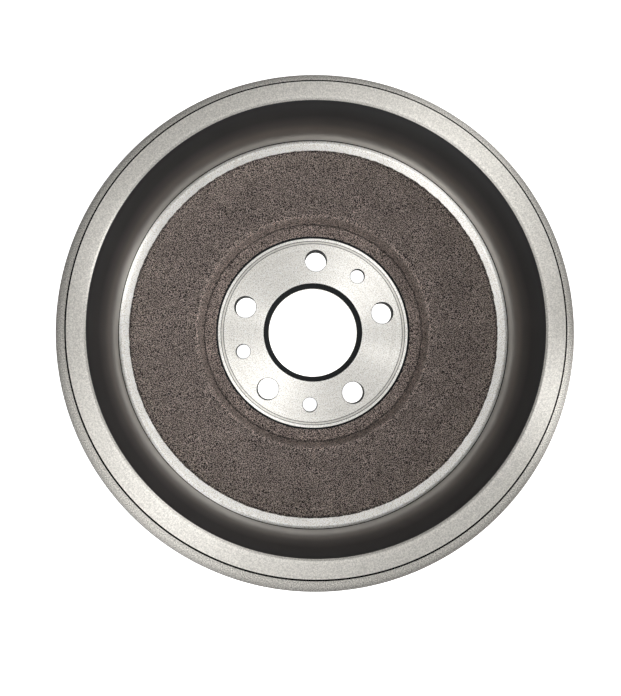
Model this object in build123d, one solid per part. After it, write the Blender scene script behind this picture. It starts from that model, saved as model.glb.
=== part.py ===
from build123d import *
import os
from math import radians, tan

# Brake drum: one grey iron casting, turned on its working faces.
# Frame, in millimetres: the origin is the centre of the wheel seat, the closed outer face that
# the drum rests on. +Z runs along the axis to the open side, and +Y points at one stud hole.
# Radii are from the axis. Depths are from the lip face, the turner's datum, down to the closed end.

# Braking ring
BRAKING_DIAMETER = 280.0
MOUTH_CHAMFER = 1.0          # lead-in where the braking surface meets the lip face
RELIEF_DEPTH = 58.4          # floor of the turned relief ring at the end of the braking surface
RELIEF_WIDTH = 7.6           # that floor's width, from the braking surface to the cast web
RELIEF_CORNER = 1.6          # tool's nose, left in its corner
SHOULDER_SLOPE = 0.5         # how far the relief's inner shoulder leans over its height

# Lip and stiffening flange on the outside of the open end
LIP_DIAMETER = 306.6
LIP_CHAMFER = 1.5
LIP_DEPTH = 16.5             # from the lip face to the flange
FLANGE_DIAMETER = 332.6
FLANGE_WIDTH = 9.0           # along the axis
FLANGE_CHAMFER = 1.0
FLANGE_ROOT = 4.0            # cast fill under the flange

# Cast side wall and web
WALL_THICKNESS = 11.0        # beside the braking surface, just under the flange
WALL_DRAFT = 3.0             # degrees, narrowing to the closed end
OUTER_TAPER = 9.0            # outside, between the side wall and the web
WEB_DEPTH = 56.0             # inner face of the web
WEB_THICKNESS = 10.0

# Hub recess: the web steps away from the open side round the hub
RECESS_DIAMETER = 162.6      # at its floor
RECESS_DEPTH = 69.6          # its cast floor
RECESS_DRAFT = 9.0           # degrees, of the step inside and outside
RECESS_WALL = 8.0            # thickness of the step, at its floor
STEP_EDGE_RADIUS = 3.0       # cast edge, where the web turns down into the recess
STEP_ROOT = 1.2              # cast fill on the recess floor
BOSS_ROOT = 4.0              # cast fill outside, where the boss leaves the web

# Machined hub seat, wheel seat and bore
HUB_FACE_DIAMETER = 141.8
HUB_FACE_DEPTH = 71.0
HUB_FACE_LEAD = 1.2          # how far the cut's edge leans outward
HUB_THICKNESS = 8.5          # between the hub face and the wheel seat
SEAT_CHAMFER = 1.5           # round the edge of the wheel seat
BORE_DIAMETER = 66.4
BORE_LEAD_IN = 3.7           # 45 degree chamfer on the hub's side
BORE_EDGE_BREAK = 0.6        # on the wheel's side

# Stud holes, and countersunk holes for the screws that hold the drum while the wheel is off
STUD_CIRCLE = 108.0
STUD_COUNT = 5
STUD_HOLE_DIAMETER = 16.0
STUD_START = 90.0            # degrees from +X to the first stud hole
SCREW_HOLE_DIAMETER = 10.5
SCREW_HEAD_DIAMETER = 20.0
SCREW_GAPS = (1, 2, 4)       # which gaps between stud holes have a screw, counted from the first

# Places that follow from the sizes above
HEIGHT = HUB_FACE_DEPTH + HUB_THICKNESS
BRAKING_RADIUS = BRAKING_DIAMETER / 2
LIP_RADIUS = LIP_DIAMETER / 2
FLANGE_RADIUS = FLANGE_DIAMETER / 2
RECESS_RADIUS = RECESS_DIAMETER / 2
HUB_FACE_RADIUS = HUB_FACE_DIAMETER / 2
BORE_RADIUS = BORE_DIAMETER / 2
CLEAR = 1.0                  # how far a cutter stands proud of the face that it starts from


def level(depth):
    """The height in the drum's frame of a depth below the lip face."""
    return HEIGHT - depth


def drafted(radius, start, height, draft):
    """The radius at a height of a drafted wall that has this radius at the start height."""
    return radius + (height - start) * tan(radians(draft))


def outside_corners():
    """Outside of the section, from the wheel seat up to the lip: radius, height, corner radius."""
    web = level(WEB_DEPTH) - WEB_THICKNESS
    seat_radius = RECESS_RADIUS + RECESS_WALL
    flange_top = level(LIP_DEPTH)
    flange_bottom = flange_top - FLANGE_WIDTH
    wall_top = BRAKING_RADIUS + WALL_THICKNESS

    def boss(height):
        return drafted(seat_radius, 0, height, RECESS_DRAFT)

    def wall(height):
        return drafted(wall_top, flange_bottom, height, WALL_DRAFT)

    return [
        (BORE_RADIUS + BORE_EDGE_BREAK, 0, 0),
        (seat_radius - SEAT_CHAMFER, 0, 0),
        (boss(SEAT_CHAMFER), SEAT_CHAMFER, 0),
        (boss(web - BOSS_ROOT), web - BOSS_ROOT, 0),
        (boss(web) + BOSS_ROOT, web, 0),
        (wall(web) - OUTER_TAPER, web, 0),
        (wall(web + OUTER_TAPER), web + OUTER_TAPER, 0),
        (wall(flange_bottom - FLANGE_ROOT), flange_bottom - FLANGE_ROOT, 0),
        (wall_top + FLANGE_ROOT, flange_bottom, 0),
        (FLANGE_RADIUS - FLANGE_CHAMFER, flange_bottom, 0),
        (FLANGE_RADIUS, flange_bottom + FLANGE_CHAMFER, 0),
        (FLANGE_RADIUS, flange_top - FLANGE_CHAMFER, 0),
        (FLANGE_RADIUS - FLANGE_CHAMFER, flange_top, 0),
        (LIP_RADIUS, flange_top, 0),
        (LIP_RADIUS, HEIGHT - LIP_CHAMFER, 0),
        (LIP_RADIUS - LIP_CHAMFER, HEIGHT, 0),
    ]


def inside_corners():
    """Inside of the section, from the lip down to the bore: radius, height, corner radius."""
    web = level(WEB_DEPTH)
    relief = level(RELIEF_DEPTH)
    recess = level(RECESS_DEPTH)
    hub_face = level(HUB_FACE_DEPTH)
    shoulder = BRAKING_RADIUS - RELIEF_WIDTH

    def step(height):
        return drafted(RECESS_RADIUS, recess, height, RECESS_DRAFT)

    return [
        (BRAKING_RADIUS + MOUTH_CHAMFER, HEIGHT, 0),
        (BRAKING_RADIUS, HEIGHT - MOUTH_CHAMFER, 0),
        (BRAKING_RADIUS, relief + RELIEF_CORNER, 0),
        (BRAKING_RADIUS - RELIEF_CORNER, relief, 0),
        (shoulder + SHOULDER_SLOPE, relief, 0),
        (shoulder, web, 0),
        (step(web), web, STEP_EDGE_RADIUS),
        (step(recess + STEP_ROOT), recess + STEP_ROOT, 0),
        (RECESS_RADIUS - STEP_ROOT, recess, 0),
        (HUB_FACE_RADIUS + HUB_FACE_LEAD, recess, 0),
        (HUB_FACE_RADIUS, hub_face, 0),
        (BORE_RADIUS + BORE_LEAD_IN, hub_face, 0),
        (BORE_RADIUS, hub_face - BORE_LEAD_IN, 0),
        (BORE_RADIUS, BORE_EDGE_BREAK, 0),
    ]


def turned_body():
    """The drum before drilling: its section, turned about the axis."""
    corners = outside_corners() + inside_corners()
    outline = FilletPolyline(
        *[(radius, height) for radius, height, _ in corners],
        radius=[rounding for _, _, rounding in corners],
        close=True,
    )
    section = Plane.XZ * make_face(outline)
    return revolve(section, Axis.Z)


def on_stud_circle(angle):
    """The place on the stud circle at this angle from +X."""
    return Rot(Z=angle) * Pos(X=STUD_CIRCLE / 2)


def drill(radius):
    """Cutter for a plain hole through the hub, standing on the stud circle's centre line."""
    return Pos(Z=HUB_THICKNESS / 2) * Cylinder(radius, HUB_THICKNESS + 2 * CLEAR)


def screw_hole():
    """Cutter for one screw hole, countersunk at 45 degrees from the wheel seat."""
    radius = SCREW_HOLE_DIAMETER / 2
    head_radius = SCREW_HEAD_DIAMETER / 2
    depth = head_radius - radius + CLEAR
    countersink = Pos(Z=depth / 2 - CLEAR) * Cone(head_radius + CLEAR, radius, depth)
    return drill(radius) + countersink


def brake_drum():
    """The finished casting, with the stud and screw holes drilled through the hub."""
    pitch = 360 / STUD_COUNT
    stud_hole = drill(STUD_HOLE_DIAMETER / 2)
    studs = [on_stud_circle(STUD_START + pitch * n) * stud_hole for n in range(STUD_COUNT)]
    screws = [on_stud_circle(STUD_START + pitch * (n + 0.5)) * screw_hole() for n in SCREW_GAPS]
    return turned_body() - studs - screws


os.makedirs("parts", exist_ok=True)
export_step(brake_drum(), "parts/brake_drum.step")
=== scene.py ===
from math import ceil, cos, hypot, pi, radians, sin, tan

import bmesh
import bpy
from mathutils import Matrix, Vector, noise
from mathutils.geometry import delaunay_2d_cdt


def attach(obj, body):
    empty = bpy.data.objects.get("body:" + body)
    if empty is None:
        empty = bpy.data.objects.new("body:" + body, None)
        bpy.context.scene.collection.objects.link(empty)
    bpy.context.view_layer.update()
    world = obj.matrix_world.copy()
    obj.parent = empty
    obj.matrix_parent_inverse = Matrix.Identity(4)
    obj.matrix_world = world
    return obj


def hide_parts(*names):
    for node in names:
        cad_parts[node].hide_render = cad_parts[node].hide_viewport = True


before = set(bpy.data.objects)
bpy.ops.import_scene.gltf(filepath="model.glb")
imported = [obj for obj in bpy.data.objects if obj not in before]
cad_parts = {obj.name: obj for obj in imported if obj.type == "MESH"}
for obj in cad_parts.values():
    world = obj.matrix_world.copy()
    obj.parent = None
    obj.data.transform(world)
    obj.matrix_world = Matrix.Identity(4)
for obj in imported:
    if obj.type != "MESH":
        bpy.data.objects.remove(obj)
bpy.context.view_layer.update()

# Brake drum, dressed. The mesh repeats the turned section of the CAD solid, with more points on
# the cast surfaces and finer corners. Sizes are in millimetres, and the mesh itself is in metres.
MM = 0.001
SEGMENTS = 432               # round the axis
ROW = 1.8                    # between the rows of a rough cast surface

# Braking ring
BRAKING_RADIUS = 140.0
MOUTH_CHAMFER = 1.0
RELIEF_CORNER_RADIUS = 2.7   # the tool's nose, left in the relief ring's corner
RELIEF_CORNER_STEPS = 8
RELIEF_RADIUS = 132.9        # inner end of the relief ring's floor

# Lip and stiffening flange
LIP_RADIUS = 153.3
LIP_CHAMFER = 1.5
BLACK_SHADE_WIDTH = 0.22           # how far the chamfer's painted black shade runs onto the lip's face
FLANGE_RADIUS = 166.3
FLANGE_CHAMFER = 1.0
FLANGE_ROOT = 4.0

# Heights above the wheel seat
HEIGHT = 79.5
FLANGE_TOP = 63.0
FLANGE_BOTTOM = 54.0
WEB_TOP = 23.5
RELIEF_FLOOR = 21.1
WEB_BOTTOM = 13.5
RECESS_FLOOR = 9.9
HUB_FACE = 8.5

# Cast side wall, web and hub recess
WALL_TOP_RADIUS = 151.0
WALL_DRAFT = 3.0             # degrees
OUTER_TAPER = 9.0
SHOULDER_RADIUS = 132.4
RECESS_RADIUS = 81.3
RECESS_DRAFT = 9.0           # degrees
RECESS_WALL = 8.0
STEP_EDGE_RADIUS = 3.0
STEP_ROOT = 1.2
BOSS_ROOT = 4.0

# Machined hub
HUB_FACE_RADIUS = 70.9
HUB_FACE_LEAD = 1.2
SEAT_CHAMFER = 1.5
BORE_RADIUS = 33.2
BORE_CHAMFER = 3.7
BORE_EDGE_BREAK = 0.6
STUD_CIRCLE_RADIUS = 54.0
STUD_COUNT = 5
STUD_HOLE_RADIUS = 8.0
STUD_START = 90.0            # degrees
SCREW_HOLE_RADIUS = 5.25
SCREW_HEAD_RADIUS = 10.0
SCREW_NUMBERS = (1, 2, 4)
HOLE_SEGMENTS = 48
HOLE_EDGE = 0.4              # the break of each hole's edge on the hub face, painted dark as shade
PLATE_INNER_RADIUS = 42.5    # the flat plates that the holes pass through
PLATE_OUTER_RADIUS = 65.5

# Marks of the tool on the hub face
OUTER_SCRIBED_RADIUS = 68.8
INNER_SCRIBED_RADIUS = 66.9
SCRIBE_WIDTH = 0.4
SCRIBE_DEPTH = 0.12

# Roundings of the section's corners, from the crispest cut to the softest cast corner
CRISP, CUT, EASED, BROKEN = 0.1, 0.15, 0.2, 0.3
SHOULDER_ROUNDING = 0.6
ROOT_ROUNDING = 0.8
CAST_ROUNDING = 2.0
TAPER_ROUNDING = 3.0
SMALL_ROUNDING = 1.0         # below this, an arc gets the fewer steps
SMALL_ARC_STEPS, LARGE_ARC_STEPS = 2, 5
ARC_REACH = 0.45             # the most that an arc takes of the stretches beside it
SHARP_ANGLE = 28.0           # degrees, between faces that don't shade as one

# Cast surfaces: how far they stray from the drawing, and the size of the features
GRAIN_HEIGHT, GRAIN_SIZE = 0.10, 2.6
WAVE_HEIGHT, WAVE_SIZE = 0.12, 11
EDGE_RAGGEDNESS = 0.55       # of the web's edge, where the tool broke the skin
RAGGED_SIZE = 1.3
RAGGED_WIDTH = 1.0

# The cast skin's tone inside: radii, and the share of the colour left there. From the hub: pale
# floor, painted shade at the foot of the step, painted light on the step, plain web, painted shade
# at the edge.
TONES_AND_PAINTED_LIGHT = [(80.0, 0.80), (80.5, 0.26), (81.0, 0.26), (81.5, 1.00), (83.8, 1.00), (85.2, 0.67),
         (130.4, 0.67), (131.3, 0.26)]
TONE_START, TONE_END = 74, 134

# Finishes, two of them painted shade, in the order of the mesh's material slots
TURNED, RELIEF, LIP, BRAKING, FLANGE, CAST, PAINTED_DARK_SHADE, PAINTED_BLACK_SHADE = range(8)


# ---------------------------------------------------------------- section

def drafted(radius, start, height, draft):
    """The radius at a height of a drafted wall that has this radius at the start height."""
    return radius + (height - start) * tan(radians(draft))


def rim_corners():
    """From the wheel seat, round the outside, over the lip and down to the hub face.

    Each corner is its radius, its height, its rounding, and the finish of the stretch after it.
    """
    seat_radius = RECESS_RADIUS + RECESS_WALL
    taper_top = WEB_BOTTOM + OUTER_TAPER
    root_bottom = FLANGE_BOTTOM - FLANGE_ROOT

    def boss(height):
        return drafted(seat_radius, 0, height, RECESS_DRAFT)

    def wall(height):
        return drafted(WALL_TOP_RADIUS, FLANGE_BOTTOM, height, WALL_DRAFT)

    def step(height):
        return drafted(RECESS_RADIUS, RECESS_FLOOR, height, RECESS_DRAFT)

    return [
        (PLATE_OUTER_RADIUS, 0, 0, TURNED),
        (seat_radius - SEAT_CHAMFER, 0, CUT, TURNED),
        (boss(SEAT_CHAMFER), SEAT_CHAMFER, BROKEN, CAST),
        (boss(WEB_BOTTOM - BOSS_ROOT), WEB_BOTTOM - BOSS_ROOT, CAST_ROUNDING, CAST),
        (boss(WEB_BOTTOM) + BOSS_ROOT, WEB_BOTTOM, CAST_ROUNDING, CAST),
        (wall(WEB_BOTTOM) - OUTER_TAPER, WEB_BOTTOM, TAPER_ROUNDING, CAST),
        (wall(taper_top), taper_top, TAPER_ROUNDING, CAST),
        (wall(root_bottom), root_bottom, CAST_ROUNDING, CAST),
        (WALL_TOP_RADIUS + FLANGE_ROOT, FLANGE_BOTTOM, CAST_ROUNDING, CAST),
        (FLANGE_RADIUS - FLANGE_CHAMFER, FLANGE_BOTTOM, BROKEN, FLANGE),
        (FLANGE_RADIUS, FLANGE_BOTTOM + FLANGE_CHAMFER, EASED, FLANGE),
        (FLANGE_RADIUS, FLANGE_TOP - FLANGE_CHAMFER, EASED, FLANGE),
        (FLANGE_RADIUS - FLANGE_CHAMFER, FLANGE_TOP, EASED, FLANGE),
        (LIP_RADIUS, FLANGE_TOP, BROKEN, FLANGE),
        # The lip's chamfer and a thin strip beside it are painted black: painted shade.
        (LIP_RADIUS, HEIGHT - LIP_CHAMFER, CRISP, PAINTED_BLACK_SHADE),
        (LIP_RADIUS - LIP_CHAMFER, HEIGHT, 0, PAINTED_BLACK_SHADE),
        (LIP_RADIUS - LIP_CHAMFER - BLACK_SHADE_WIDTH, HEIGHT, 0, LIP),
        (BRAKING_RADIUS + MOUTH_CHAMFER, HEIGHT, CUT, LIP),
        (BRAKING_RADIUS, HEIGHT - MOUTH_CHAMFER, CUT, BRAKING),
        *relief_corner(),
        (RELIEF_RADIUS, RELIEF_FLOOR, CRISP, CAST),
        (SHOULDER_RADIUS, WEB_TOP, SHOULDER_ROUNDING, CAST),
        (step(WEB_TOP), WEB_TOP, STEP_EDGE_RADIUS, CAST),
        (step(RECESS_FLOOR + STEP_ROOT), RECESS_FLOOR + STEP_ROOT, ROOT_ROUNDING, CAST),
        (RECESS_RADIUS - STEP_ROOT, RECESS_FLOOR, ROOT_ROUNDING, CAST),
        # The hub face's lead is painted dark: painted shade.
        (HUB_FACE_RADIUS + HUB_FACE_LEAD, RECESS_FLOOR, EASED, PAINTED_DARK_SHADE),
        (HUB_FACE_RADIUS, HUB_FACE, CRISP, TURNED),
        *scribed(OUTER_SCRIBED_RADIUS, LIP),
        *scribed(INNER_SCRIBED_RADIUS, TURNED),
        (PLATE_OUTER_RADIUS, HUB_FACE, 0, TURNED),
    ]


def relief_corner():
    """The fillet at the end of the braking surface. Its steepest quarter is painted black, as
    painted shade.
    """
    corners = []
    for n in range(RELIEF_CORNER_STEPS + 1):
        angle = pi / 2 * n / RELIEF_CORNER_STEPS
        radius = BRAKING_RADIUS - RELIEF_CORNER_RADIUS * (1 - cos(angle))
        height = RELIEF_FLOOR + RELIEF_CORNER_RADIUS * (1 - sin(angle))
        corners.append((radius, height, 0, PAINTED_BLACK_SHADE if 4 * n < RELIEF_CORNER_STEPS else RELIEF))
    return corners


def scribed(radius, finish):
    """One fine line that the tool left on the hub face, painted dark as shade, then the finish
    inside it.
    """
    return [
        (radius + SCRIBE_WIDTH / 2, HUB_FACE, 0, PAINTED_DARK_SHADE),
        (radius, HUB_FACE - SCRIBE_DEPTH, 0, PAINTED_DARK_SHADE),
        (radius - SCRIBE_WIDTH / 2, HUB_FACE, 0, finish),
    ]


def bore_corners():
    """From the hub face, through the bore, to the wheel seat. The bore's chamfer is painted dark,
    as shade.
    """
    return [
        (PLATE_INNER_RADIUS, HUB_FACE, 0, TURNED),
        (BORE_RADIUS + BORE_CHAMFER, HUB_FACE, CUT, PAINTED_DARK_SHADE),
        (BORE_RADIUS, HUB_FACE - BORE_CHAMFER, CUT, TURNED),
        (BORE_RADIUS, BORE_EDGE_BREAK, CRISP, TURNED),
        (BORE_RADIUS + BORE_EDGE_BREAK, 0, CRISP, TURNED),
        (PLATE_INNER_RADIUS, 0, 0, TURNED),
    ]


def arc(before, corner, after, rounding):
    """Points of an arc in place of a corner, as a rational curve between its tangents."""
    into = (before - corner).normalized()
    out = (after - corner).normalized()
    half = into.angle(out) / 2
    reach = rounding / tan(half)
    shorter = min((before - corner).length, (after - corner).length)
    reach = min(reach, ARC_REACH * shorter)
    start, end, pull = corner + into * reach, corner + out * reach, sin(half)
    steps = SMALL_ARC_STEPS if rounding < SMALL_ROUNDING else LARGE_ARC_STEPS
    points = []
    for t in [n / steps for n in range(steps + 1)]:
        shares = (1 - t) ** 2, 2 * pull * t * (1 - t), t**2
        place = start * shares[0] + corner * shares[1] + end * shares[2]
        points.append(place / sum(shares))
    return points


def outline(corners):
    """The section's points in order: radius, height and the finish of the stretch after each."""
    places = [Vector((radius, height)) for radius, height, _, _ in corners]
    points = []
    for n, (_, _, rounding, finish) in enumerate(corners):
        bend = [places[n]]
        if rounding:
            bend = arc(places[n - 1], places[n], places[n + 1], rounding)
        points += [(point, finish) for point in bend]
    return divided(points)


def divided(points):
    """The same outline, with rows every ROW on its long cast stretches."""
    rows = []
    for (place, finish), (following, _) in zip(points, points[1:]):
        length = (following - place).length
        count = ceil(length / ROW) if finish == CAST else 1
        rows += [(place.lerp(following, n / count), finish) for n in range(count)]
    return rows + [points[-1]]


# ---------------------------------------------------------------- mesh

class Mesh:
    """Points and faces, with the finish of each face."""

    def __init__(self):
        self.points, self.faces, self.finishes = [], [], []

    def ring(self, radius, height, segments=SEGMENTS, centre=(0, 0)):
        """Adds a ring of points and gives their numbers."""
        first = len(self.points)
        for n in range(segments):
            angle = 2 * pi * n / segments
            x, y = centre[0] + radius * cos(angle), centre[1] + radius * sin(angle)
            self.points.append(Vector((x, y, height)))
        return list(range(first, first + segments))

    def band(self, lower, upper, finish):
        """Joins two rings with quads."""
        for n in range(len(lower)):
            m = (n + 1) % len(lower)
            self.faces.append((lower[n], lower[m], upper[m], upper[n]))
            self.finishes.append(finish)

    def plate(self, outer, inner, holes, finish):
        """Fills the flat space between two rings, round the rings of the holes."""
        loops = [outer, inner, *holes]
        numbers = [number for loop in loops for number in loop]
        flat = [self.points[number].xy for number in numbers]
        edges, first = [], 0
        for loop in loops:
            size = len(loop)
            edges += [(first + n, first + (n + 1) % size) for n in range(size)]
            first += size
        made = delaunay_2d_cdt(flat, edges, [], 0, 1e-6)
        origins = [numbers[found[0]] for found in made[3]]
        for triangle in made[2]:
            self.add_if_solid([origins[corner] for corner in triangle], outer, inner, holes, finish)

    def add_if_solid(self, corners, outer, inner, holes, finish):
        """Adds a plate's triangle unless all its corners are on the inner ring or on one hole."""
        for loop in [outer, inner, *holes]:
            if loop is not outer and all(loop[0] <= corner <= loop[-1] for corner in corners):
                return
        self.faces.append(tuple(corners))
        self.finishes.append(finish)


def lathe(mesh, rows):
    """Turns the rows about the axis, roughens the cast ones, and gives the first and last rings."""
    rings = []
    for n, (place, finish) in enumerate(rows):
        ring = mesh.ring(place.x, place.y)
        before = rows[max(n - 1, 0)][0]
        after = rows[min(n + 1, len(rows) - 1)][0]
        along = (after - before).normalized()
        rough = finish == CAST and n > 0 and rows[n - 1][1] == CAST
        if rough:
            roughen(mesh, ring, Vector((-along.y, along.x)))
        rings.append(ring)
    for n, (lower, upper) in enumerate(zip(rings, rings[1:])):
        mesh.band(lower, upper, rows[n][1])
    return rings[0], rings[-1]


def roughen(mesh, ring, normal):
    """Moves a cast ring's points along the section's normal, as sand leaves them."""
    for number in ring:
        point = mesh.points[number]
        grain = noise.noise(point / GRAIN_SIZE) * GRAIN_HEIGHT
        wave = noise.noise(point / WAVE_SIZE + Vector((7, 3, 1))) * WAVE_HEIGHT
        radius = hypot(point.x, point.y)
        outward = Vector((point.x, point.y)) / radius
        shift = normal * (grain + wave)
        if abs(radius - SHOULDER_RADIUS) < RAGGED_WIDTH and point.z > WEB_TOP - RAGGED_WIDTH:
            place = outward * SHOULDER_RADIUS
            shift.x += noise.noise(Vector((*place, 5)) / RAGGED_SIZE) * EDGE_RAGGEDNESS
        point.x += outward.x * shift.x
        point.y += outward.y * shift.x
        point.z += shift.y


def hole_places():
    """Centres of the stud holes, then of the screw holes."""
    pitch = 360 / STUD_COUNT

    def place(turn):
        angle = radians(STUD_START + pitch * turn)
        return STUD_CIRCLE_RADIUS * cos(angle), STUD_CIRCLE_RADIUS * sin(angle)

    return [place(n) for n in range(STUD_COUNT)], [place(n + 0.5) for n in SCREW_NUMBERS]


def drill(mesh):
    """The walls of all holes, painted dark as shade. Gives their rings on the hub face and on the
    wheel seat.
    """
    studs, screws = hole_places()
    head_depth = SCREW_HEAD_RADIUS - SCREW_HOLE_RADIUS
    stud = [(STUD_HOLE_RADIUS, 0)]
    screw = [(SCREW_HEAD_RADIUS, 0), (SCREW_HOLE_RADIUS, head_depth)]
    holes = [(centre, stud) for centre in studs] + [(centre, screw) for centre in screws]
    tops, bottoms = [], []
    for centre, start in holes:
        radius = start[-1][0]
        end = [(radius, HUB_FACE - HOLE_EDGE), (radius + HOLE_EDGE, HUB_FACE)]
        rings = [mesh.ring(*place, HOLE_SEGMENTS, centre) for place in start + end]
        for lower, upper in zip(rings, rings[1:]):
            mesh.band(lower, upper, PAINTED_DARK_SHADE)
        bottoms.append(rings[0])
        tops.append(rings[-1])
    return tops, bottoms


def drum_object():
    """The whole drum as one closed mesh object."""
    mesh = Mesh()
    tops, bottoms = drill(mesh)
    seat_outer, hub_outer = lathe(mesh, outline(rim_corners()))
    hub_inner, seat_inner = lathe(mesh, outline(bore_corners()))
    mesh.plate(hub_outer, hub_inner, tops, TURNED)
    mesh.plate(seat_outer, seat_inner, bottoms, TURNED)

    data = bpy.data.meshes.new("drum")
    data.from_pydata([point * MM for point in mesh.points], [], mesh.faces)
    for make in (turned_iron, relief_iron, lip_iron, braking_iron, flange_iron, cast_iron,
                 painted_dark_shade_iron, painted_black_shade_iron):
        data.materials.append(make())
    data.polygons.foreach_set("material_index", mesh.finishes)
    data.polygons.foreach_set("use_smooth", [True] * len(mesh.faces))
    face_outward(data)
    data.set_sharp_from_angle(angle=radians(SHARP_ANGLE))
    drum = bpy.data.objects.new("drum", data)
    bpy.context.scene.collection.objects.link(drum)
    return drum


def face_outward(data):
    """Turns all faces of a closed mesh outward."""
    work = bmesh.new()
    work.from_mesh(data)
    bmesh.ops.recalc_face_normals(work, faces=work.faces)
    work.to_mesh(data)
    work.free()
    data.update()


# ---------------------------------------------------------------- materials

class Nodes:
    """Short calls to add nodes to one material."""

    def __init__(self, name):
        self.material = bpy.data.materials.new(name)
        self.material.use_nodes = True
        self.tree = self.material.node_tree
        self.shader = self.tree.nodes["Principled BSDF"]

    def add(self, kind, **inputs):
        """Adds a node. An input is a number, a colour, or another node's output."""
        node = self.tree.nodes.new("ShaderNode" + kind)
        for name, value in inputs.items():
            self.put(node.inputs[name.replace("_", " ")], value)
        return node

    def put(self, socket, value):
        if isinstance(value, bpy.types.NodeSocket):
            self.tree.links.new(value, socket)
        else:
            socket.default_value = value

    def set(self, **inputs):
        for name, value in inputs.items():
            self.put(self.shader.inputs[name.replace("_", " ")], value)

    def math(self, operation, *values):
        node = self.add("Math")
        node.operation = operation
        for socket, value in zip(node.inputs, values):
            self.put(socket, value)
        return node.outputs[0]

    def place(self):
        """A point of the drum, in its own frame."""
        return self.add("TexCoord").outputs["Object"]

    def normal(self):
        """The direction that the surface faces, in the drum's own frame."""
        return self.add("TexCoord").outputs["Normal"]

    def turned_place(self):
        """Radius and height only, so that a pattern made from it runs round the axis."""
        parts = self.add("SeparateXYZ", Vector=self.place()).outputs
        squares = self.math("ADD", self.math("MULTIPLY", parts[0], parts[0]),
                            self.math("MULTIPLY", parts[1], parts[1]))
        radius = self.math("SQRT", squares)
        return self.add("CombineXYZ", X=radius, Z=parts[2]).outputs[0]

    def noise(self, vector, size, detail=2.0, roughness=0.5):
        """Noise from 0 to 1 with features of this size in millimetres."""
        node = self.add("TexNoise", Vector=vector, Scale=1 / (size * MM), Detail=detail,
                        Roughness=roughness)
        return node.outputs[0]

    def ramp(self, value, *stops):
        """Colours along a value: position and colour of each stop."""
        node = self.add("ValToRGB", Fac=value)
        steps = node.color_ramp.elements
        while len(steps) < len(stops):
            steps.new(0.5)
        for step, (position, colour) in zip(steps, stops):
            step.position = position
            step.color = (*colour, 1)
        return node.outputs[0]

    def range(self, value, low, high, start=0.0, end=1.0):
        node = self.add("MapRange")
        for socket, number in zip(node.inputs, (value, start, end, low, high)):
            self.put(socket, number)
        return node.outputs[0]

    def mix(self, share, first, second, blend="MIX"):
        node = self.add("Mix")
        node.data_type = "RGBA"
        node.blend_type = blend
        self.put(node.inputs[0], share)
        self.put(node.inputs[6], first)
        self.put(node.inputs[7], second)
        return node.outputs[2]

    def bump(self, height, distance):
        """A relief from a height of 0 to 1, with its depth in millimetres."""
        return self.add("Bump", Height=height, Distance=distance * MM).outputs[0]

    def grooved(self, spread):
        """Gloss drawn out across grooves that run round the axis."""
        around = self.add("Tangent")
        around.direction_type = "RADIAL"
        around.axis = "Z"
        self.set(Tangent=around.outputs[0], Anisotropic=spread, Anisotropic_Rotation=0.25)


def grey(level, warmth=0.0):
    """A grey, warmer or cooler by a small share."""
    return (level * (1 + warmth), level, level * (1 - warmth))


def turned(name, level, roughness, spread, marks=1.0, fade=None, gloss=0.7):
    """Iron from the lathe: fine grooves round the axis, in bands of slightly different cut.

    The fade is an inner and an outer radius and the share of the colour left at the outer one.
    The gloss is how much of the light comes back in the sheen, and not evenly.
    """
    made = Nodes(name)
    place = made.turned_place()
    fine = made.noise(place, 0.55, 3)
    broad = made.noise(place, 2.3, 1)
    specks = made.noise(made.place(), 0.7, 1)
    tone = made.ramp(broad, (0.3, iron(level * 0.95)), (0.7, iron(level * 1.05)))
    grain = made.range(specks, 1 - 0.28 * marks, 1 + 0.28 * marks, 0.3, 0.7)
    colour = made.mix(1.0, tone, grain, "MULTIPLY")
    if fade:
        start, end, left = fade
        radius = made.add("SeparateXYZ", Vector=place).outputs[0]
        dim = made.range(radius, 1.0, left, start * MM, end * MM)
        colour = made.mix(1.0, colour, dim, "MULTIPLY")
    relief = made.math("ADD", fine, broad)
    made.set(
        Base_Color=colour,
        Metallic=gloss,
        Roughness=made.range(fine, roughness * 0.92, roughness * 1.08, 0.3, 0.7),
        Normal=made.bump(relief, 0.03 * marks),
    )
    made.grooved(spread)
    return made.material


def iron(level):
    """The slightly warm grey of bare iron."""
    return (level * 1.035, level, level * 0.93)


def turned_iron():
    """The hub and the wheel seat."""
    return turned("turned_iron", 0.92, 0.43, 0.95, 1.3)


def relief_iron():
    """The relief ring, the brightest cut."""
    return turned("relief_iron", 0.96, 0.43, 0.95, 1.3, gloss=1.0)


def lip_iron():
    """The lip's open face, a little duller than the hub."""
    return turned("lip_iron", 0.70, 0.43, 0.95, 0.75, (141.0, 152.0, 0.92))


def flange_iron():
    """The flange's open face, turned once, and darker towards its edge."""
    return turned("flange_iron", 0.57, 0.45, 0.93, 1.8, (161.5, 166.2, 0.50))


def braking_iron():
    """The braking surface: the finest cut, its colour painted lighter towards its foot as a painted
    reflection of the relief ring, and darker towards the mouth as painted shade.
    """
    made = Nodes("braking_iron")
    place = made.turned_place()
    fine = made.noise(place, 0.55, 3)
    height = made.add("SeparateXYZ", Vector=place).outputs[2]
    share = made.range(height, 0.0, 1.0, WEB_TOP * MM, HEIGHT * MM)
    made.set(
        # Painted reflection of the relief ring near the foot, painted shade towards the mouth.
        Base_Color=made.ramp(share, (0.0, grey(0.36, 0.05)), (0.12, grey(0.42, 0.05)),
                             (0.33, grey(0.42, 0.03)), (0.45, grey(0.28, -0.03)),
                             (0.65, grey(0.155, -0.06)), (0.88, grey(0.125, -0.06)),
                             (1.0, grey(0.08, -0.06))),
        Metallic=1.0,
        Roughness=0.28,
        Normal=made.bump(fine, 0.003),
    )
    made.grooved(0.5)
    return made.material


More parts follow.
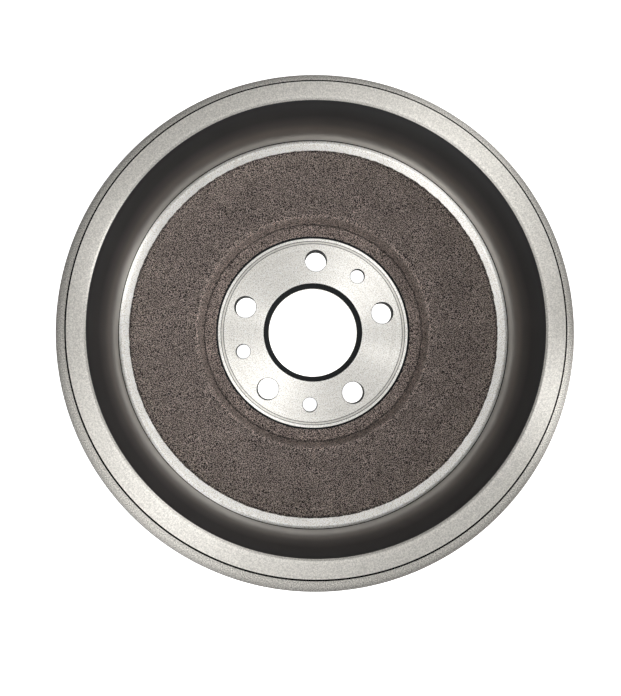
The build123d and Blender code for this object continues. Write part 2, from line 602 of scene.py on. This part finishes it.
def cast_iron():
    """Sand-cast skin, brown-grey and closely grained, with painted glints by the web's edge."""
    made = Nodes("cast_iron")
    place = made.place()
    radius = made.add("SeparateXYZ", Vector=made.turned_place()).outputs[0]
    grain = made.noise(place, 0.59, 0)
    lumps = made.noise(place, 3.2, 2)
    patches = made.noise(place, 22, 3)
    painted_glints = made.noise(place, 0.9, 0)
    skin = made.ramp(grain, (0.42, (0.010, 0.006, 0.005)), (0.50, (0.138, 0.104, 0.088)),
                     (0.58, (0.900, 0.735, 0.655)))

    # The hidden outside faces down or outward. Its skin is softer, in one tone.
    upward = made.add("SeparateXYZ", Vector=made.normal()).outputs[2]
    inside = made.range(upward, 0.0, 1.0, -0.05, 0.05)
    skin = made.mix(made.range(inside, 0.6, 0.0), skin, (0.240, 0.198, 0.175, 1))
    colour = made.mix(1.0, skin, made.range(lumps, 0.86, 1.14, 0.3, 0.7), "MULTIPLY")
    colour = made.mix(1.0, colour, made.range(patches, 0.90, 1.08, 0.35, 0.65), "MULTIPLY")

    # By radius: painted shade at the step's foot and at the web's edge, painted light on the step.
    wander = made.range(made.noise(place, 6, 2), -0.4 * MM, 0.4 * MM, 0.3, 0.7)
    along = made.range(made.math("ADD", radius, wander), 0.0, 1.0, TONE_START * MM,
                       TONE_END * MM)
    length = TONE_END - TONE_START
    tone = made.ramp(along, *[((at - TONE_START) / length, grey(level)) for at, level in TONES_AND_PAINTED_LIGHT])
    colour = made.mix(1.0, colour, made.mix(inside, (0.55, 0.55, 0.55, 1), tone), "MULTIPLY")

    # Painted highlights: bright specks on the inside near the web's edge.
    painted_glint_zone = made.math("MULTIPLY", inside, made.range(radius, 0.0, 1.0, 112 * MM, 130 * MM))
    bright = made.range(painted_glints, 0.0, 1.0, 0.66, 0.72)
    colour = made.mix(made.math("MULTIPLY", painted_glint_zone, bright), colour, (0.80, 0.68, 0.56, 1))
    relief = made.math("ADD", grain, made.math("MULTIPLY", lumps, 0.8))
    made.set(
        Base_Color=colour,
        Metallic=0.0,
        Roughness=0.55,
        Specular_IOR_Level=0.5,
        Normal=made.bump(relief, 1.1),
    )
    return made.material


def painted_dark_shade_iron():
    """Painted shade, rough and dark: the walls of drilled holes, their edges, the bore's chamfer,
    the hub face's lead and the scribed lines.
    """
    made = Nodes("painted_dark_shade_iron")
    fine = made.noise(made.place(), 0.6, 3)
    made.set(
        Base_Color=made.ramp(fine, (0.3, grey(0.012, -0.08)), (0.7, grey(0.028, -0.08))),
        Metallic=0.0,
        Roughness=0.7,
        Specular_IOR_Level=0.1,
        Normal=made.bump(fine, 0.05),
    )
    return made.material


def painted_black_shade_iron():
    """Lead-ins and a fillet painted black: painted shade."""
    made = Nodes("painted_black_shade_iron")
    fine = made.noise(made.place(), 1.5, 3)
    made.set(
        Base_Color=made.ramp(fine, (0.3, grey(0.006)), (0.7, grey(0.014))),
        Metallic=0.0,
        Roughness=0.9,
        Specular_IOR_Level=0.0,
        Normal=made.bump(fine, 0.03),
    )
    return made.material


# ---------------------------------------------------------------- studio

CAMERA_PLACE = (-0.009687, -0.028159, 0.381617)
CAMERA_TURN = (3.1643, -0.1950, 2.4762)
CAMERA_LENS = 25.862
CAMERA_SHIFT = (0.015045, -0.009165)

# Softboxes: azimuth, elevation and width in degrees, and the light that each gives to a surface
# that faces it. The key is small, for the shadow on the web. The others make the sheen.
SOFTBOXES = {
    "key": (352, 50, 4, 0.168),
    "key_glow": (346, 47, 22, 0.144),
    "south_west_high": (215, 68, 24, 0.475),
    "west_high": (255, 64, 24, 0.226),
    "south_west_low": (235, 24, 30, 0.327),
    "south": (300, 45, 40, 0.111),
    "east_low": (350, 22, 24, 0.800),
    "north_east_low": (57, 20, 26, 0.640),
    "north_east_high": (56, 72, 22, 0.230),
    "top": (0, 89, 30, 0.565),
}
SOFTBOX_DISTANCE = 1.6
FLOOR_REACH = 6.0
FLOOR_GAP = 0.0005


def camera():
    data = bpy.data.cameras.new("camera")
    data.lens = CAMERA_LENS
    data.shift_x, data.shift_y = CAMERA_SHIFT
    data.clip_start = 0.01
    made = bpy.data.objects.new("camera", data)
    made.location = CAMERA_PLACE
    made.rotation_euler = [radians(turn) for turn in CAMERA_TURN]
    bpy.context.scene.collection.objects.link(made)
    bpy.context.scene.camera = made


def softbox(name, azimuth, elevation, width, strength):
    """A square light that looks at the drum from this direction."""
    data = bpy.data.lights.new(name, "AREA")
    data.size = 2 * SOFTBOX_DISTANCE * tan(radians(width / 2))
    data.energy = pi * strength * SOFTBOX_DISTANCE**2
    made = bpy.data.objects.new(name, data)
    level = cos(radians(elevation))
    towards = Vector((cos(radians(azimuth)) * level, sin(radians(azimuth)) * level,
                      sin(radians(elevation))))
    made.location = towards * SOFTBOX_DISTANCE
    made.rotation_mode = "QUATERNION"
    made.rotation_quaternion = towards.to_track_quat("Z", "Y")
    bpy.context.scene.collection.objects.link(made)


def backdrop():
    """Plain white behind everything. Only the camera sees it, so it gives no light."""
    world = bpy.data.worlds.new("studio")
    bpy.context.scene.world = world
    world.use_nodes = True
    back = world.node_tree.nodes["Background"]
    back.inputs["Color"].default_value = (1, 1, 1, 1)
    back.inputs["Strength"].default_value = 1.0
    for kind in ("diffuse", "glossy", "transmission", "scatter"):
        setattr(world.cycles_visibility, kind, False)


def floor():
    """A plain white floor, bright enough to hide every shadow."""
    data = bpy.data.meshes.new("floor")
    reach = FLOOR_REACH
    corners = [(-reach, -reach), (reach, -reach), (reach, reach), (-reach, reach)]
    data.from_pydata([(x, y, -FLOOR_GAP) for x, y in corners], [], [(0, 1, 2, 3)])
    made = Nodes("floor_white")
    made.set(Base_Color=(0.9, 0.9, 0.9, 1), Roughness=0.9, Emission_Color=(1, 1, 1, 1),
             Emission_Strength=1.0)
    data.materials.append(made.material)
    piece = bpy.data.objects.new("floor", data)
    bpy.context.scene.collection.objects.link(piece)


camera()
drum = drum_object()
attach(drum, "root")
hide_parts("brake_drum")
floor()
backdrop()
for name, box in SOFTBOXES.items():
    softbox(name, *box)
bpy.context.scene.view_settings.view_transform = "Standard"
